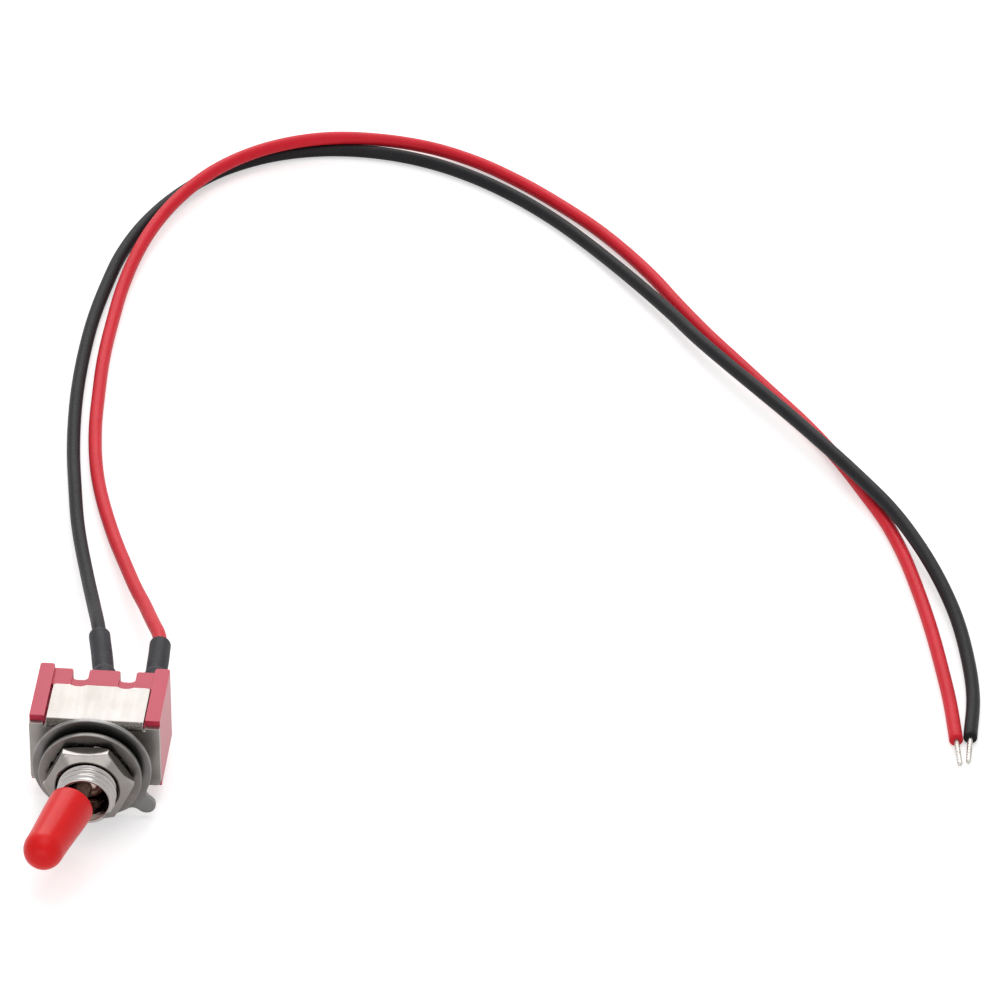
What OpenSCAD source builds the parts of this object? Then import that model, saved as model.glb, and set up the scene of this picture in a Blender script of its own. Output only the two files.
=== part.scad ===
// Sub-miniature panel toggle switch, on-off, with a soft cap and two soldered leads.
// Millimetres. The bushing points along -Y, the terminals along +Y, and the lever swings in the XY plane.
// The origin is on the bushing's axis, at the front face of the frame. The switch lies on its wide side.

/* [Frame] */
// Width of the frame and the housing, along X
body_w = 13.2; // [11.6:0.1:16]
// Height of the frame over its two legs
frame_h = 7.4; // [7.3:0.1:8.5]
// Thickness of the sheet that the frame is folded from
frame_t = 0.55; // [0.45:0.05:0.65]
// Width of the legs that are folded back over the housing
leg_w = 9.8; // [8.6:0.1:11]
// How far the legs reach behind the frame's front face
leg_reach = 6.3; // [5:0.1:8]
// Radius of the legs' rear corners
leg_corner_r = 0.3; // [0.1:0.05:0.5]
// Depth of the hollows in a leg's rear edge, in line with the notches
leg_dip = 0.28; // [0.1:0.02:0.4]
// How far the plate's wings stop below the upper leg's outer face
wing_drop = 0.3; // [0.1:0.05:0.45]
// Inner radius of the two folds
fold_r = 0.1; // [0.05:0.05:0.3]
// Width of the relief cut beside each fold
relief_w = 0.3; // [0.2:0.05:0.4]
// Radius of the two lower corners of the front plate
plate_corner_r = 0.55; // [0.3:0.05:0.9]

/* [Housing] */
// Depth of the housing behind the frame's front plate
housing_depth = 8.5; // [8.1:0.05:10]
// Gap between a leg's edge and the rib beside it
rib_gap = 0.2; // [0.1:0.05:0.3]
// How far the ribs stand proud of the frame's legs
rib_proud = 0.35; // [0.1:0.05:0.5]
// How far the ribs reach behind the lands
rib_tail = 0.15; // [0:0.05:0.4]
// Radius of the ribs' rear corners
rib_corner_r = 0.3; // [0.1:0.05:0.4]
// Depth of the contact chamber behind the front plate
chamber_depth = 5.45; // [5.35:0.05:5.65]
// Wall of the chamber
chamber_wall = 0.7; // [0.5:0.05:0.8]
// Distance from the centre to the middle of each rear notch
notch_x = 2.4; // [2.2:0.05:2.6]
// Width of the rear notches at the bottom
notch_w = 1.65; // [1.25:0.05:1.8]
// Depth of the rear notches
notch_depth = 1.55; // [1:0.05:2.1]
// How far the lands lie below the outer faces of the frame's legs
land_drop = 0.1; // [0.05:0.05:0.25]
// How far the webs in the notches lie below the lands
web_drop = 0.2; // [0.1:0.05:0.3]
// Radius of the lands' rear corners
land_corner_r = 0.3; // [0.15:0.05:0.4]

/* [Bushing] */
// Outer diameter of the bushing's thread
thread_d = 6; // [5.9:0.05:6.35]
// Length of the bushing in front of the frame
bushing_len = 7.9; // [7.6:0.1:9]
// Height of the end chamfer of the thread
thread_chamfer = 0.35; // [0.2:0.05:0.5]
// Width of the keyway along the thread
keyway_w = 1; // [0.8:0.05:1.2]
// Depth of the keyway
keyway_depth = 0.5; // [0.3:0.05:0.6]
// Angle of the keyway and the ring's tab, seen from the front, counted from +X towards +Z
keyway_angle = -38.5; // [-90:0.5:0]
// Radius of the throat that the lever passes through
throat_r = 1.9; // [1.8:0.05:1.95]
// Radius of the bore at its mouth
mouth_r = 2.15; // [2.1:0.05:2.2]
// Reach of the two ears that hold the bushing behind the plate
ear_r = 3.6; // [3.4:0.05:4]
// Thickness of the ears
ear_t = 0.5; // [0.4:0.05:0.6]

/* [Ring, washer and nut] */
// Radius of the keyed locking ring
ring_r = 6; // [5.6:0.1:6.6]
// Thickness of the locking ring
ring_t = 0.5; // [0.4:0.05:0.7]
// Free space between the frame and the locking ring
ring_gap = 2.05; // [2.05:0.05:2.3]
// Reach of the ring's tab from the axis
tab_reach = 7.85; // [7.5:0.05:9]
// Width of the ring's tab
tab_w = 2; // [1.6:0.1:2.4]
// Radius of the lock washer
washer_r = 5.2; // [4.8:0.1:5.5]
// Thickness of the lock washer
washer_t = 0.55; // [0.4:0.05:0.6]
// Free space between the ring and the washer
washer_gap = 0.75; // [0.05:0.05:0.8]
// Number of teeth inside the lock washer
washer_teeth = 12; // [8:1:14]
// Width of the nut across its flats
nut_af = 8; // [7.6:0.1:8.4]
// Thickness of the nut
nut_t = 1.95; // [1.6:0.05:2]
// Radius of the nut's flat faces, inside their chamfers
nut_face_r = 3.4; // [3.3:0.05:3.7]
// Turn of the nut about the bushing
nut_turn = 3; // [0:1:15]

/* [Lever and cap] */
// Tilt of the lever to each side
lever_tilt = 14; // [10:0.5:14.5]
// Distance of the cross pin in front of the frame
pivot_reach = 3.7; // [3.6:0.05:3.8]
// Radius of the lever's ball
ball_r = 2.15; // [2.05:0.01:2.15]
// Radius of the lever's neck
neck_r = 1; // [0.8:0.05:1.05]
// Radius of the lever's hollow tail
tail_r = 1.2; // [1.1:0.02:1.2]
// Length of the tail behind the cross pin
tail_len = 6.3; // [6:0.05:6.4]
// Radius of the cross pin
pin_r = 0.4; // [0.3:0.05:0.5]
// Length of the cross pin
pin_len = 5.2; // [4.8:0.1:5.4]
// Distance from the cross pin to the soft cap
cap_start = 5.05; // [5:0.05:5.4]
// Length of the soft cap
cap_len = 9.45; // [8:0.05:12]
// Radius of the cap at its open end
cap_base_r = 2.31; // [2.2:0.01:2.4]
// Radius of the cap at its closed end
cap_tip_r = 2.07; // [1.9:0.01:2.2]
// Thickness of the cap over the lever's end
cap_end_t = 1; // [0.8:0.05:1.4]

/* [Contacts] */
// Radius of the plunger
plunger_r = 0.8; // [0.7:0.01:0.8]
// Distance from the cross pin to the middle of the plunger's round end
plunger_reach = 7.9; // [7.7:0.01:7.9]
// Free travel of the plunger in the tail
plunger_travel = 0.5; // [0.3:0.05:0.5]
// Thickness of the spring's wire
spring_wire = 0.2; // [0.15:0.01:0.22]
// Number of coils of the spring
spring_coils = 6; // [5:1:7]
// Distance behind the frame's face of the rocker's hollow
rocker_y = 5.12; // [5.12:0.01:5.2]
// Rise of each wing of the rocker, in degrees
wing_angle = 12; // [12:0.5:13]
// Tilt of the rocker to each side
rocker_tilt = 7; // [5:0.5:7]
// Reach of each wing of the rocker
wing_len = 4.9; // [4.8:0.05:5.1]
// Thickness of the rocker
rocker_t = 0.4; // [0.3:0.01:0.4]
// Width of the rocker
rocker_w = 2.6; // [2.4:0.05:3]
// Distance from the middle to the silver contacts
contact_x = 4.2; // [4:0.05:4.3]
// Radius of the silver contacts
contact_r = 0.6; // [0.5:0.05:0.65]

/* [Terminals and sleeves] */
// Distance between neighbouring terminals
terminal_pitch = 4.7; // [4.5:0.05:4.8]
// Thickness of the solder lugs
lug_t = 0.8; // [0.6:0.05:0.8]
// Width of the solder lugs
lug_w = 2; // [1.6:0.05:2]
// Length of the lugs behind the housing
lug_len = 3.7; // [3.2:0.05:4]
// Sideways lean of the common lug, as a slope
lug_lean = 0.2; // [0:0.01:0.22]
// Outer radius of a sleeve where it is shrunk over the lug
sleeve_wide_r = 1.45; // [1.35:0.01:1.5]
// Outer radius of a sleeve where it is shrunk over the lead
sleeve_narrow_r = 1.12; // [1.05:0.01:1.2]
// Length of the sleeve on the common lug
common_sleeve_len = 10.8; // [9:0.1:13]
// Length of the sleeve on the switched lug
switched_sleeve_len = 10.2; // [9:0.1:13]

/* [Leads] */
// Outer diameter of the leads
lead_d = 1.45; // [1.2:0.05:1.5]
// Diameter of the stripped and tinned ends
core_d = 0.55; // [0.4:0.05:0.7]
// Length of the stripped and tinned ends
bare_len = 4; // [2:0.5:8]

/* [Hidden] */

$fn = 64;
// Clearance of parts that are fixed together
seat = 0.02;
// Clearance of parts that run in each other
run = 0.05;
// Extra length of a cutter beyond the face that it cuts
past = 1;

// Frame and housing
half_w = body_w / 2;
half_leg = leg_w / 2;
leg_in = frame_h / 2 - frame_t;
web_h = leg_in - fold_r;
rib_in = half_leg + rib_gap;
rib_h = frame_h / 2 + rib_proud;
deck_h = leg_in - seat;
deck_chamfer = fold_r + run;
land_h = frame_h / 2 - land_drop;
web_top = land_h - web_drop;
wing_top = frame_h / 2 - wing_drop;
land_start = leg_reach + run;
back_y = frame_t + housing_depth;
notch_floor = back_y - notch_depth;
notch_r = 0.6;
chamber_y = frame_t + chamber_depth;
chamber_w = half_w - chamber_wall;
chamber_h = deck_h - chamber_wall - seat;

// Bushing
thread_r = thread_d / 2;
bore_r = ball_r + run;
flare_start = 0.1;
flare_r = bore_r + 0.35;
ear_end = frame_t + ear_t;
ear_h = chamber_h - run;
seat_front = pivot_reach + 0.5;
seat_end = pivot_reach + 1.3;
mouth_chamfer = 0.5;
mouth_wide_r = mouth_r + 0.3;

// Stack in front of the frame, as distances from its face
washer_y = ring_gap + ring_t + washer_gap;
nut_y = washer_y + washer_t + run;
loose_r = thread_r + 0.1;
key_w = keyway_w - 2 * run;
key_r = thread_r - keyway_depth + 0.1;
tab_fillet = 0.8;
tooth_w = 0.9;
tooth_root = thread_r + 1.15;
nut_chamfer = 0.6;

// Lever, as distances along it from the cross pin
bat_r = neck_r + 0.25;
bat_shoulder = 1;
bat_end = cap_start + cap_len - cap_end_t;
bat_chamfer = 0.4;
cap_end = cap_start + cap_len;
cap_lip = 0.15;
tail_bore_r = plunger_r + run;
spring_start = pin_r + 0.8;
plunger_back = 4.5;
coil_r = plunger_r - spring_wire / 2 - 0.03;
coil_len = plunger_back - spring_start - spring_wire - 0.02;
coil_steps = 12;
wire_sides = 6;

// Rocker, before it is tipped about a line just in front of the common terminal's head
rocker_back = rocker_y + rocker_t / cos(wing_angle);
rocker_pivot = rocker_back - 0.08;
head_y = rocker_back + 0.01;
horn_w = 0.7;
horn_t = 0.25;
horn_reach = 0.85;
horn_room = 0.15;

// A point on the back of a wing, x from the middle, once the rocker is tipped to that side
function wing_back(x) = rocker_back - x * tan(wing_angle);
function tipped_x(x) = x * cos(rocker_tilt) - (wing_back(x) - rocker_pivot) * sin(rocker_tilt);
function tipped_y(x) = x * sin(rocker_tilt) + (wing_back(x) - rocker_pivot) * cos(rocker_tilt)
                     + rocker_pivot;

// Silver contacts: a domed head on the rocker meets a flat head on the switched terminal
rivet_r = contact_r / 2;
rivet_t = 0.12;
dome_r = 2.5 * contact_r;
dome_h = dome_r - sqrt(dome_r * dome_r - contact_r * contact_r);
dome_reach = rivet_t + dome_h - dome_r;
wing_slope = wing_angle - rocker_tilt;
touch_x = tipped_x(contact_x) + dome_reach * sin(wing_slope);
touch_y = tipped_y(contact_x) + dome_reach * cos(wing_slope) + dome_r + 0.01;
fixed_r = contact_r + 0.15;
fixed_t = 0.22;
plate_y = touch_y + fixed_t;
plate_rim = 0.2;
// Moulded rest for the wing that has no contact
rest_x = 3.7;
rest_w = 1.2;
rest_y = tipped_y(rest_x) + seat;

// Lugs, solder and sleeves. The lugs start to lean just behind the housing
lean_y = back_y + 0.1;
common_lean = atan(lug_lean);
solder_start = lug_len - 1.5;
solder_full = lug_len + 0.05;
solder_end = lug_len + 0.35;
solder_r = sqrt(lug_t * lug_t + lug_w * lug_w) / 2 + 0.03;
sleeve_start = max(rib_tail, sleeve_wide_r * sin(common_lean)) + run - (lean_y - back_y);
sleeve_bore_r = solder_r + run;
sleeve_step = 0.7;
sleeve_round = 0.3;
lead_r = lead_d / 2;
lead_bore_r = lead_r + 0.035;
lead_sides = 8;
lead_stub = 0.45;
black_stub = common_sleeve_len + lead_stub;
red_stub = switched_sleeve_len + lead_stub;

// Routes of the leads' centre lines, from the solder to the end of the insulation. Each leaves its
// sleeve straight on, sinks to the surface and runs round a wide loop. The red lead crosses over the black one at
// the far end of the loop, and the black one crosses over the red one on the way back.
red_route = [
    [terminal_pitch, lean_y + solder_end, 0], [terminal_pitch, lean_y + red_stub, 0],
    [2.5, 25, -1.6], [0, 31.5, -3.1], [-2, 37, -4],
    [-4, 43.5, -4.7], [-7, 56, -5.2], [-8, 62.5, -5.2], [-9, 69.5, -5.2], [-9.5, 76.5, -5.2],
    [-9.5, 83.5, -5.1], [-9, 90, -5], [-8, 95.5, -4.7], [-6.5, 101, -4.4], [-4.5, 106, -4.1],
    [-1, 111.5, -3.7], [4, 116.5, -3.6], [10.5, 119.5, -3.8], [16.5, 120.5, -4.4],
    [22.5, 120, -4.9], [27.5, 118, -5.1], [32.5, 115, -5.2], [38, 110.5, -5.2], [42, 106, -5.2],
    [45.5, 101.5, -5.2], [49, 96.5, -5.2], [52, 92, -5.2], [55.5, 87, -5.2], [59.5, 81.5, -5.2],
    [63.5, 76, -5.2], [67.5, 70.5, -5.2], [71, 65, -5.2], [74.5, 58.5, -5.2], [77, 53, -5.2],
    [79, 48, -5.2], [81, 41.5, -5.2], [82.5, 35.5, -5.2], [84, 28.5, -5.2], [85, 23, -5.2],
    [86, 16.5, -5.2]];
black_route = [
    [-lug_lean * solder_end, lean_y + solder_end, 0],
    [-black_stub * sin(common_lean), lean_y + black_stub * cos(common_lean), 0], [-4, 27.5, -2], [-5.5, 33.5, -3.2], [-8, 46, -4.6],
    [-9, 52, -4.9], [-10, 58.5, -5.2], [-11, 69.5, -5.2], [-11.5, 76.5, -5.2],
    [-11.5, 83.5, -5.2], [-11, 90.5, -5.2], [-10, 96, -5.2], [-8, 102.5, -5.2],
    [-5, 108.5, -5.2], [-0.5, 114, -5.2], [5, 117.5, -5.2], [10.5, 119, -5.2], [17.5, 119, -5.2],
    [23, 117.5, -5.2], [28, 115, -5.2], [32.5, 112, -5.2], [37.5, 107.5, -5.2],
    [41.5, 103, -5.1], [45, 98.5, -4.9], [48.5, 93.5, -4.6], [51.5, 89, -4.4], [54.5, 84.5, -4.1],
    [58.5, 79, -3.8], [62, 74.5, -3.6], [66, 69.5, -3.4], [69.5, 65, -3.3], [73.5, 59.5, -3.4],
    [77.5, 53.5, -3.7], [80.5, 48, -4], [83, 42.5, -4.4], [85, 37, -4.8], [86.5, 31, -5.1],
    [87.5, 24, -5.2], [87.5, 17, -5.2]];

// Points on an arc about a centre, from angle a to angle b
function arc(centre, r, a, b, steps = 8) =
    [for (i = [0:steps]) let (t = a + (b - a) * i / steps) centre + r * [cos(t), sin(t)]];

function unit(v) = v / norm(v);

// The direction in which a route runs at its point i
function heading(route, i) =
    unit(route[min(i + 1, len(route) - 1)] - route[max(i - 1, 0)]);

// Length along a leaning lug for a distance dy along Y
function along(dy, lean) = dy * sqrt(1 + lean * lean);

// Turns local Z to the front, so that local X and Y are the model's X and Z
module facing_front() {
    rotate([90, 0, 0]) children();
}

// Turns local Z to the rear
module facing_rear() {
    rotate([-90, 0, 0]) children();
}

// Local Z runs along the lever from its cross pin to its tip, at the lever's rest tilt
module along_lever() {
    translate([0, -pivot_reach, 0]) rotate([0, 0, -lever_tilt]) facing_front() children();
}

// The rocker's own place, tipped to the side of the switched terminal
module tipped() {
    translate([0, rocker_pivot, 0]) rotate([0, 0, rocker_tilt])
        translate([0, -rocker_pivot, 0]) children();
}

// Local Z runs out of the right wing's back face at the moving contact
module at_moving_contact() {
    tipped() translate([contact_x, wing_back(contact_x), 0]) rotate([0, 0, -wing_angle])
        facing_rear() children();
}

// Local Z runs along a lug from the place where it starts to lean
module along_lug(x, angle) {
    translate([x, lean_y, 0]) rotate([0, 0, angle]) facing_rear() children();
}

// One quarter of a fold, from the plate round to a leg
module fold() {
    translate([-half_leg, frame_t + fold_r, web_h]) rotate([0, 90, 0]) rotate([0, 0, 180])
        rotate_extrude(angle = 90) translate([fold_r, 0]) square([frame_t, leg_w]);
}

module wing_outline(side) {
    inner = half_leg + relief_w;
    foot = -frame_h / 2;
    corner = [half_w - plate_corner_r, foot + plate_corner_r];
    mirror([side < 0 ? 1 : 0, 0])
        polygon(concat([[inner, wing_top], [inner, foot]],
                       arc(corner, plate_corner_r, -90, 0), [[half_w, wing_top]]));
}

// A leg from its fold to its rear edge, with round corners and a hollow in line with each notch
module leg_outline() {
    r = leg_corner_r;
    dip_r = (pow(notch_w / 2, 2) + pow(leg_dip, 2)) / (2 * leg_dip);
    difference() {
        polygon(concat([[-half_leg, frame_t + fold_r], [half_leg, frame_t + fold_r]],
                       arc([half_leg - r, leg_reach - r], r, 0, 90),
                       arc([r - half_leg, leg_reach - r], r, 90, 180)));
        for (x = [-notch_x, notch_x]) translate([x, leg_reach + dip_r - leg_dip]) circle(r = dip_r);
    }
}

module frame_bracket() {
    color("#b9b4aa") difference() {
        union() {
            facing_front() translate([0, 0, -frame_t]) linear_extrude(frame_t) {
                square([2 * (half_leg + relief_w + run), 2 * web_h], center = true);
                wing_outline(1);
                wing_outline(-1);
            }
            for (side = [0, 1]) mirror([0, 0, side]) {
                fold();
                translate([0, 0, leg_in]) linear_extrude(frame_t) leg_outline();
            }
        }
        facing_front() cylinder(r = thread_r + seat, h = 4 * frame_t, center = true);
    }
}

// A block with round rear corners, from x0 to x1 and y0 to y1, and as far up as down
module round_ended(x0, x1, y0, y1, r, half_h) {
    translate([0, 0, -half_h]) linear_extrude(2 * half_h)
        polygon(concat([[x0, y0], [x1, y0]],
                       arc([x1 - r, y1 - r], r, 0, 90), arc([x0 + r, y1 - r], r, 90, 180)));
}

module land(x0, x1) {
    round_ended(x0, x1, land_start, back_y, land_corner_r, land_h);
}

module rib(x0, x1) {
    round_ended(x0, x1, frame_t, back_y + rib_tail, rib_corner_r, rib_h);
}

// The round-bottomed notch between two lands
module notch() {
    side = notch_w / 2 - notch_r;
    low = notch_floor + notch_r;
    translate([0, 0, -land_h - past]) linear_extrude(2 * land_h + 2 * past)
        polygon(concat(arc([-side, low], notch_r, 180, 270), arc([side, low], notch_r, 270, 360),
                       [[notch_w / 2, back_y + past], [-notch_w / 2, back_y + past]]));
}

module housing() {
    deck_end = notch_floor + notch_r;
    land_in = notch_x - notch_w / 2;
    land_out = notch_x + notch_w / 2;
    color("#d2566c") difference() {
        union() {
            // The deck under the frame's legs, chamfered to clear the folds, and the webs behind them
            translate([-rib_in - past / 4, 0, 0]) rotate([90, 0, 90])
                linear_extrude(2 * rib_in + past / 2)
                    polygon([[frame_t, deck_chamfer - deck_h], [frame_t + deck_chamfer, -deck_h],
                             [land_start, -deck_h], [land_start, -web_top], [deck_end, -web_top],
                             [deck_end, web_top], [land_start, web_top], [land_start, deck_h],
                             [frame_t + deck_chamfer, deck_h], [frame_t, deck_h - deck_chamfer]]);
            land(-land_in, land_in);
            land(land_out, rib_in + 2 * land_corner_r);
            land(-rib_in - 2 * land_corner_r, -land_out);
            rib(rib_in, half_w);
            rib(-half_w, -rib_in);
        }
        for (x = [-notch_x, notch_x]) translate([x, 0, 0]) notch();
        // The contact chamber, open at the front
        difference() {
            translate([-chamber_w, frame_t - past, -chamber_h])
                cube([2 * chamber_w, chamber_depth + past, 2 * chamber_h]);
            translate([-rest_x - rest_w, rest_y, -rest_w / 2])
                cube([rest_w, chamber_y - rest_y + past, rest_w]);
        }
        for (x = [0, terminal_pitch])
            translate([x - lug_t / 2 - seat, chamber_y - past, -lug_w / 2 - seat])
                cube([lug_t + 2 * seat, back_y - chamber_y + 2 * past, lug_w + 2 * seat]);
    }
}

module bushing() {
    color("#a9a6a1") facing_front() difference() {
        union() {
            rotate_extrude()
                polygon([[0, -frame_t], [thread_r, -frame_t],
                         [thread_r, bushing_len - thread_chamfer],
                         [thread_r - thread_chamfer, bushing_len], [0, bushing_len]]);
            // Two ears that hold the bushing behind the plate
            translate([0, 0, -ear_end]) intersection() {
                cylinder(r = ear_r, h = ear_t);
                translate([-ear_r - past, -ear_h, 0])
                    cube([2 * (ear_r + past), 2 * ear_h, ear_t]);
            }
        }
        // The bore: a mouth for the lever, a seat for its ball and a flare for its tail
        rotate_extrude()
            polygon([[0, -ear_end - past], [flare_r, -ear_end - past], [flare_r, -ear_end],
                     [bore_r, flare_start], [bore_r, seat_front], [throat_r, seat_end],
                     [mouth_r, bushing_len - mouth_chamfer], [mouth_wide_r, bushing_len],
                     [mouth_wide_r, bushing_len + past], [0, bushing_len + past]]);
        rotate([0, 0, keyway_angle]) translate([thread_r - keyway_depth, -keyway_w / 2, 0])
            cube([keyway_depth + past, keyway_w, bushing_len + past]);
        translate([0, 0, pivot_reach]) rotate([90, 0, 0])
            cylinder(r = pin_r + seat / 2, h = 3 * thread_r, center = true);
    }
}

module pivot_pin() {
    color("#c8c4bc") translate([0, -pivot_reach, 0])
        cylinder(r = pin_r, h = pin_len, center = true);
}

// The bat of the lever from its neck to its end, grown by a clearance
module bat(grow) {
    cylinder(r = neck_r + grow, h = cap_start + grow);
    translate([0, 0, cap_start]) cylinder(r1 = neck_r + grow, r2 = bat_r + grow, h = bat_shoulder);
    translate([0, 0, cap_start + bat_shoulder])
        cylinder(r = bat_r + grow, h = bat_end - bat_chamfer - cap_start - bat_shoulder);
    translate([0, 0, bat_end - bat_chamfer])
        cylinder(r1 = bat_r + grow, r2 = bat_r + grow - bat_chamfer, h = bat_chamfer + grow);
}

module lever() {
    color("#b3afa8") along_lever() difference() {
        union() {
            sphere(r = ball_r);
            bat(0);
            translate([0, 0, -tail_len]) cylinder(r = tail_r, h = tail_len);
        }
        translate([0, 0, -tail_len - past])
            cylinder(r = tail_bore_r, h = tail_len + past - spring_start);
        rotate([90, 0, 0]) cylinder(r = pin_r + run, h = 3 * ball_r, center = true);
    }
}

module lever_cap() {
    tip = [0, cap_end - cap_tip_r];
    lip = [cap_base_r - cap_lip, cap_start + cap_lip];
    color("#d9262c") along_lever() difference() {
        rotate_extrude()
            polygon(concat([[0, cap_start]], arc(lip, cap_lip, -90, 0, 4),
                           arc(tip, cap_tip_r, 0, 90, 12)));
        bat(seat);
    }
}

module plunger() {
    color("#e6e2d6") along_lever() rotate_extrude()
        polygon(concat([[0, -plunger_back]],
                       arc([0, -plunger_reach], plunger_r, -90, 0)));
}

// A helical coil of wire along Z
module coil() {
    turns = spring_coils * coil_steps;
    rings = [for (i = [0:turns]) let (a = 360 * i / coil_steps)
        [for (j = [0:wire_sides - 1]) let (b = 360 * j / wire_sides,
                                           r = coil_r + spring_wire / 2 * cos(b))
            [r * cos(a), r * sin(a), coil_len * i / turns + spring_wire / 2 * sin(b)]]];
    polyhedron(points = [for (ring = rings) each ring], faces = tube_faces(turns + 1, wire_sides));
}

module plunger_spring() {
    color("#c9c7c2") along_lever()
        translate([0, 0, -spring_start - spring_wire / 2 - seat / 2 - coil_len]) coil();
}

module rocker_contact() {
    tip = wing_len;
    color("#c98a4b") difference() {
        tipped() translate([0, 0, -rocker_w / 2]) linear_extrude(rocker_w)
            polygon([for (x = [-tip, 0, tip]) [x, wing_back(abs(x)) - rocker_back + rocker_y],
                     for (x = [tip, 0, -tip]) [x, wing_back(abs(x))]]);
        // Side notches for the common terminal's horns
        for (side = [-1, 1]) tipped()
            translate([-horn_w / 2 - horn_room, rocker_y - past,
                       side * rocker_w / 2 - horn_t - run])
                cube([horn_w + 2 * horn_room, rocker_t + 2 * past, 2 * (horn_t + run)]);
        at_moving_contact() cylinder(r = rivet_r, h = 4 * rocker_t, center = true);
    }
}

module moving_contact() {
    color("#dcdcdc") at_moving_contact() rotate_extrude()
        polygon(concat([[0, -rocker_t - rivet_t], [rivet_r + rivet_t, -rocker_t - rivet_t],
                        [rivet_r + rivet_t, -rocker_t], [rivet_r, -rocker_t], [rivet_r, 0],
                        [contact_r, 0]],
                       arc([0, dome_reach], dome_r, acos(contact_r / dome_r), 90)));
}

module fixed_contact() {
    color("#dcdcdc") translate([touch_x, touch_y, 0]) facing_rear() {
        cylinder(r = fixed_r, h = fixed_t);
        cylinder(r = rivet_r, h = chamber_y - touch_y);
    }
}

module common_terminal() {
    half = lug_t / 2;
    reach = lug_len;
    miter = half * tan(common_lean / 2);
    away = [cos(common_lean), sin(common_lean)];
    end = [0, lean_y] + reach * [-sin(common_lean), cos(common_lean)];
    head_w = 2.5 * lug_t;
    color("#c6bfae") {
        // The lug: straight through the housing, then leaning to one side
        translate([0, 0, -lug_w / 2]) linear_extrude(lug_w)
            polygon([[-half, head_y], [half, head_y], [half, lean_y + miter], end + half * away,
                     end - half * away, [-half, lean_y - miter]]);
        // The head that the rocker tips on, with a horn at each side
        translate([-head_w / 2, head_y, -rocker_w / 2 - plate_rim])
            cube([head_w, chamber_y - head_y, rocker_w + 2 * plate_rim]);
        for (z = [-rocker_w / 2, rocker_w / 2 - horn_t])
            translate([-horn_w / 2, head_y - horn_reach, z])
                cube([horn_w, chamber_y - head_y + horn_reach, horn_t]);
    }
}

module switched_terminal() {
    left = touch_x - fixed_r - plate_rim;
    right = terminal_pitch + lug_t / 2 + plate_rim;
    color("#c6bfae") difference() {
        union() {
            translate([left, plate_y, -fixed_r - plate_rim])
                cube([right - left, chamber_y - plate_y, 2 * (fixed_r + plate_rim)]);
            translate([terminal_pitch - lug_t / 2, plate_y, -lug_w / 2])
                cube([lug_t, lean_y + lug_len - plate_y, lug_w]);
        }
        translate([touch_x, plate_y - past, 0]) facing_rear()
            cylinder(r = rivet_r, h = chamber_y - plate_y + past);
    }
}

// Outline of the ring's tab along X, with a round end and a fillet at each side of its root
module tab_outline() {
    half = tab_w / 2;
    far = tab_reach - half;
    foot = sqrt(pow(ring_r + tab_fillet, 2) - pow(half + tab_fillet, 2));
    turn = atan2(half + tab_fillet, foot);
    polygon(concat([[ring_r - tab_w, 0]],
                   [ring_r * [cos(turn), -sin(turn)]],
                   arc([foot, -half - tab_fillet], tab_fillet, 180 - turn, 90),
                   arc([far, 0], half, -90, 90),
                   arc([foot, half + tab_fillet], tab_fillet, 270, 180 + turn)));
}

module keyed_ring() {
    color("#8f8d8a") facing_front() translate([0, 0, ring_gap]) rotate([0, 0, keyway_angle])
        linear_extrude(ring_t) {
            difference() {
                union() {
                    circle(r = ring_r);
                    tab_outline();
                }
                circle(r = loose_r);
            }
            translate([key_r, -key_w / 2]) square([loose_r - key_r + past / 2, key_w]);
        }
}

module lock_washer() {
    color("#9a9793") facing_front() translate([0, 0, washer_y]) linear_extrude(washer_t) {
        difference() {
            circle(r = washer_r);
            circle(r = tooth_root);
        }
        for (i = [0:washer_teeth - 1]) rotate(i * 360 / washer_teeth)
            translate([loose_r, -tooth_w / 2]) square([tooth_root - loose_r + 0.2, tooth_w]);
    }
}

module hex_nut() {
    corner = nut_af / 2 / cos(30);
    color("#c4c2be") facing_front() translate([0, 0, nut_y]) rotate([0, 0, nut_turn])
        difference() {
            intersection() {
                cylinder(r = corner, h = nut_t, $fn = 6);
                rotate_extrude()
                    polygon([[0, 0], [nut_face_r, 0], [corner + run, nut_chamfer],
                             [corner + run, nut_t - nut_chamfer], [nut_face_r, nut_t], [0, nut_t]]);
            }
            rotate_extrude()
                polygon([[0, -past], [loose_r + 0.15, -past], [loose_r + 0.15, 0],
                         [thread_r + 0.03, 0.25], [thread_r + 0.03, nut_t - 0.25],
                         [loose_r + 0.15, nut_t], [loose_r + 0.15, nut_t + past],
                         [0, nut_t + past]]);
        }
}

// The solder round the end of a lug and the lead's core, along its lug
module solder(lean) {
    end = along(solder_end, lean);
    color("#b8b8b4") difference() {
        rotate_extrude()
            polygon([[0, solder_start], [solder_r, solder_start], [solder_r, solder_full],
                     [lead_r, end], [0, end]]);
        translate([-lug_t / 2, -lug_w / 2, -past]) cube([lug_t, lug_w, lug_len + past]);
    }
}

module solder_common() {
    along_lug(0, common_lean) solder(lug_lean);
}

module solder_switched() {
    along_lug(terminal_pitch, 0) solder(0);
}

// A sleeve shrunk over a lug and its lead, with a rounded end
module sleeve(length, lean) {
    end = along(solder_end, lean) + run;
    step = solder_full - 0.1;
    color("#4c4a50") rotate_extrude()
        polygon(concat([[sleeve_bore_r, sleeve_start], [sleeve_wide_r, sleeve_start],
                        [sleeve_wide_r, step], [sleeve_narrow_r, step + sleeve_step]],
                       arc([sleeve_narrow_r - sleeve_round, length - sleeve_round],
                           sleeve_round, 0, 90, 4),
                       [[lead_bore_r, length], [lead_bore_r, end], [sleeve_bore_r, solder_full]]));
}

module sleeve_common() {
    along_lug(0, common_lean) sleeve(common_sleeve_len, lug_lean);
}

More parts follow.
